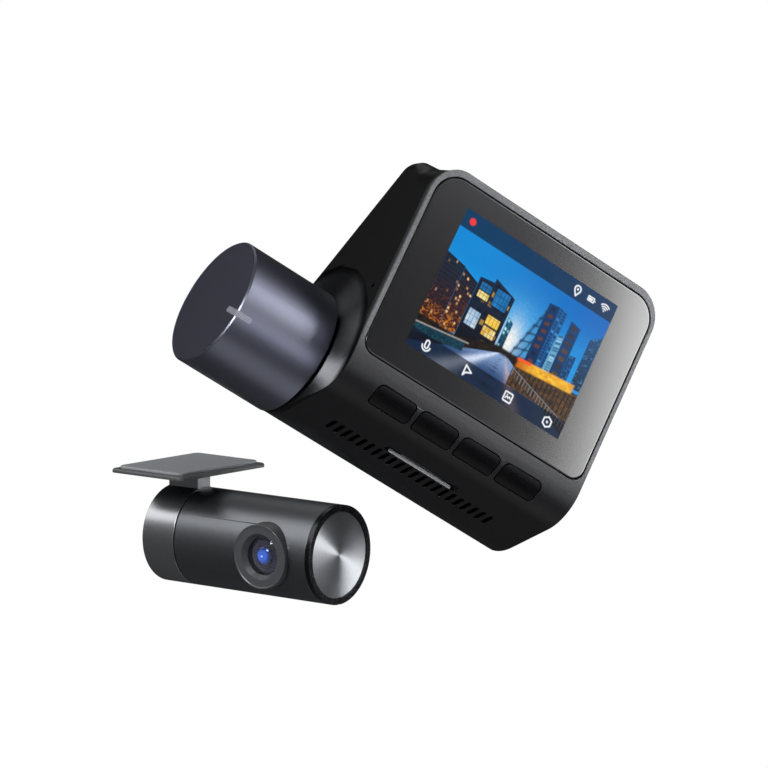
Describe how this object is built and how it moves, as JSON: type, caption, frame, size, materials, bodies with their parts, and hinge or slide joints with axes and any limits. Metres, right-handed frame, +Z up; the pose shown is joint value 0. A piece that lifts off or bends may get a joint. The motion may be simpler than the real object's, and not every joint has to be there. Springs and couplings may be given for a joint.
{
  "type": "dash camera",
  "caption": "Windscreen-mounted dash camera with a rear screen and a turning lens drum at its side, together with its small barrel-shaped rear-window camera.",
  "frame": {"origin": "centre of the outer face of the front unit's adhesive pad, where it meets the windscreen", "axes": "+X to the right as the driver sees the screen, along the drum's turning axis; +Y forward through the windscreen; +Z up. The screen faces -Y"},
  "size_m": [0.0825, 0.0889, 0.0877],
  "materials": {
    "front_cover_plastic": "fine spark texture, moulded ABS/PC",
    "housing_plastic": "fine matt texture, moulded ABS/PC",
    "screen_glass": "polished cover glass, black printed back",
    "display_module": "lit liquid crystal panel",
    "backlight_foil": "stamped light guide frame",
    "drum_aluminium": "fine brushed, dark violet-grey anodised",
    "drum_cap_aluminium": "fine blasted, dark violet-grey anodised",
    "position_mark": "printed light grey mark",
    "lens_ring_plastic": "polished black",
    "lens_glass": "coated optical glass",
    "black_metal": "black anodised lens barrel",
    "circuit_board": "green solder mask",
    "shaft_metal": "turned",
    "washer_plastic": "natural acetal",
    "spring_steel": "stamped spring steel",
    "screw_steel": "black zinc-plated",
    "switch_plastic": "moulded key switch",
    "button_plastic": "satin moulded ABS",
    "chip_plastic": "moulded epoxy",
    "thermal_rubber": "soft gap filler",
    "heat_sink_aluminium": "extruded, bead blasted",
    "battery_foil": "laminated pouch",
    "speaker_plastic": "moulded frame with paper cone",
    "socket_steel": "stamped, nickel plated",
    "memory_card_plastic": "moulded card",
    "mount_plastic": "fine texture",
    "adhesive_foam": "acrylic foam",
    "rear_ring_metal": "satin black anodised",
    "rear_cap_plastic": "fine texture",
    "rear_barrel_metal": "satin black anodised",
    "trim_ring_metal": "turned, black anodised",
    "spun_disc_metal": "spun, fine radial sheen",
    "rear_lens_ring_metal": "turned, black anodised",
    "rear_plate_plastic": "fine texture",
    "rear_adhesive_foam": "acrylic foam under its grey liner"
  },
  "bodies": {
    "front_unit": {"adhesive_pad": "adhesive_foam", "backlight": "backlight_foil", "battery": "battery_foil", "board_screws": "screw_steel", "card_socket": "socket_steel", "display_glass": "screen_glass", "display_panel": "display_module", "front_cover": "front_cover_plastic", "heat_sink": "heat_sink_aluminium", "housing": "housing_plastic", "key_board": "circuit_board", "key_switches": "switch_plastic", "main_board": "circuit_board", "microphone": "spring_steel", "mount_plate": "mount_plastic", "mount_screws": "screw_steel", "power_socket": "socket_steel", "processor": "chip_plastic", "rear_adhesive_pad": "rear_adhesive_foam", "rear_back_cap": "rear_cap_plastic", "rear_cable_socket": "socket_steel", "rear_camera_socket": "socket_steel", "rear_mount_plate": "rear_plate_plastic", "rear_ring": "rear_ring_metal", "speaker": "speaker_plastic", "thermal_pad": "thermal_rubber", "wifi_antenna": "circuit_board"},
    "lens_drum": {"drum_shell": "drum_aluminium", "drum_end_cap": "drum_cap_aluminium", "drum_mark": "position_mark", "drum_lens_ring": "lens_ring_plastic", "drum_lens": "lens_glass", "drum_lens_barrel": "black_metal", "drum_sensor_board": "circuit_board", "drum_shaft": "shaft_metal", "friction_washer": "washer_plastic", "shaft_retainer": "spring_steel", "shaft_screws": "screw_steel"},
    "rear_camera_barrel": {"rear_barrel": "rear_barrel_metal", "rear_trim_ring": "trim_ring_metal", "rear_end_disc": "spun_disc_metal", "rear_lens_ring": "rear_lens_ring_metal", "rear_lens": "lens_glass", "rear_lens_barrel": "black_metal", "rear_sensor_board": "circuit_board", "rear_main_board": "circuit_board", "rear_pivot": "shaft_metal", "rear_friction_washer": "washer_plastic", "rear_retainer": "spring_steel", "rear_pivot_screws": "screw_steel"},
    "card": {"memory_card": "memory_card_plastic"},
    "key_1": {"button_1": "button_plastic"},
    "key_2": {"button_2": "button_plastic"},
    "key_3": {"button_3": "button_plastic"},
    "key_4": {"button_4": "button_plastic"}
  },
  "joints": [
    {"name": "drum_turn", "type": "hinge", "parent": "front_unit", "child": "lens_drum", "pos_m": [0, -0.0028, -0.0345], "axis": [1, 0, 0], "range_deg": [-45, 45]},
    {"name": "button_1_press", "type": "slide", "parent": "front_unit", "child": "key_1", "axis": [0, 0.866, 0.5], "range_m": [0, 0.0004], "stiffness_N_per_m": 1500, "springref_m": -0.0005},
    {"name": "button_2_press", "type": "slide", "parent": "front_unit", "child": "key_2", "axis": [0, 0.866, 0.5], "range_m": [0, 0.0004], "stiffness_N_per_m": 1500, "springref_m": -0.0005},
    {"name": "button_3_press", "type": "slide", "parent": "front_unit", "child": "key_3", "axis": [0, 0.866, 0.5], "range_m": [0, 0.0004], "stiffness_N_per_m": 1500, "springref_m": -0.0005},
    {"name": "button_4_press", "type": "slide", "parent": "front_unit", "child": "key_4", "axis": [0, 0.866, 0.5], "range_m": [0, 0.0004], "stiffness_N_per_m": 1500, "springref_m": -0.0005},
    {"name": "card_pull", "type": "slide", "parent": "front_unit", "child": "card", "axis": [0, 0, -1], "range_m": [0, 0.018]},
    {"name": "rear_barrel_turn", "type": "hinge", "parent": "front_unit", "child": "rear_camera_barrel", "pos_m": [-0.0031, 0.0356, -0.0638], "axis": [0.4007, -0.9107, 0.1002], "range_deg": [-90, 90]}
  ]
}
